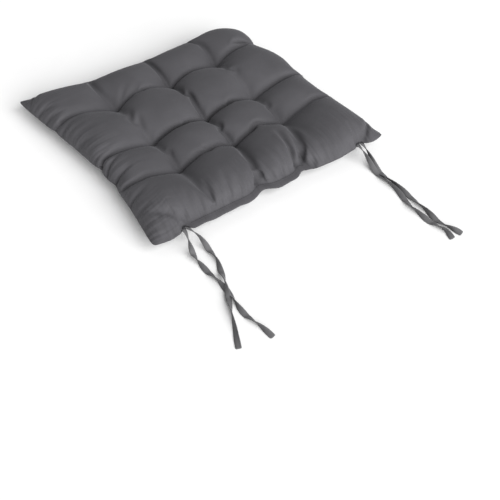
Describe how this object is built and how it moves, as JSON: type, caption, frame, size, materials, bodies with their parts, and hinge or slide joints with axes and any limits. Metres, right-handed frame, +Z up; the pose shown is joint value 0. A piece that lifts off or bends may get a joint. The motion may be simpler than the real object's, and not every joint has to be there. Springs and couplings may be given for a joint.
{
  "type": "chair seat pad",
  "caption": "Square tufted seat pad with a fibre fill between two sewn fabric covers, a flat closing seam at the rear and two pairs of ribbon ties for fastening it to a chair.",
  "frame": {"origin": "middle of the underside, on the surface the pad rests on", "axes": "+Z up through the pad, +Y towards the rear edge with the ties, +X to the right as seen from the front"},
  "size_m": [0.4018, 0.6117, 0.0552],
  "materials": {
    "cover_cloth": "smooth dark grey woven polyester, matt",
    "ribbon_cloth": "the cover's own cloth folded and stitched into flat ribbons, matt",
    "thread": "dark grey sewing thread",
    "fibre": "white hollow fibre wadding"
  },
  "bodies": {
    "root": {"top_cover": "cover_cloth", "bottom_cover": "cover_cloth", "fibre_fill": "fibre", "edge_seam_thread": "thread", "closing_stitch": "thread", "tuft_thread_front_left": "thread", "tuft_thread_front_middle": "thread", "tuft_thread_front_right": "thread", "tuft_thread_centre_left": "thread", "tuft_thread_centre_middle": "thread", "tuft_thread_centre_right": "thread", "tuft_thread_rear_left": "thread", "tuft_thread_rear_middle": "thread", "tuft_thread_rear_right": "thread", "tie_tack_right": "thread", "tie_tack_left": "thread", "tie_right_under": "ribbon_cloth", "tie_right_over": "ribbon_cloth", "tie_left_inner": "ribbon_cloth", "tie_left_outer": "ribbon_cloth"}
  },
  "joints": []
}
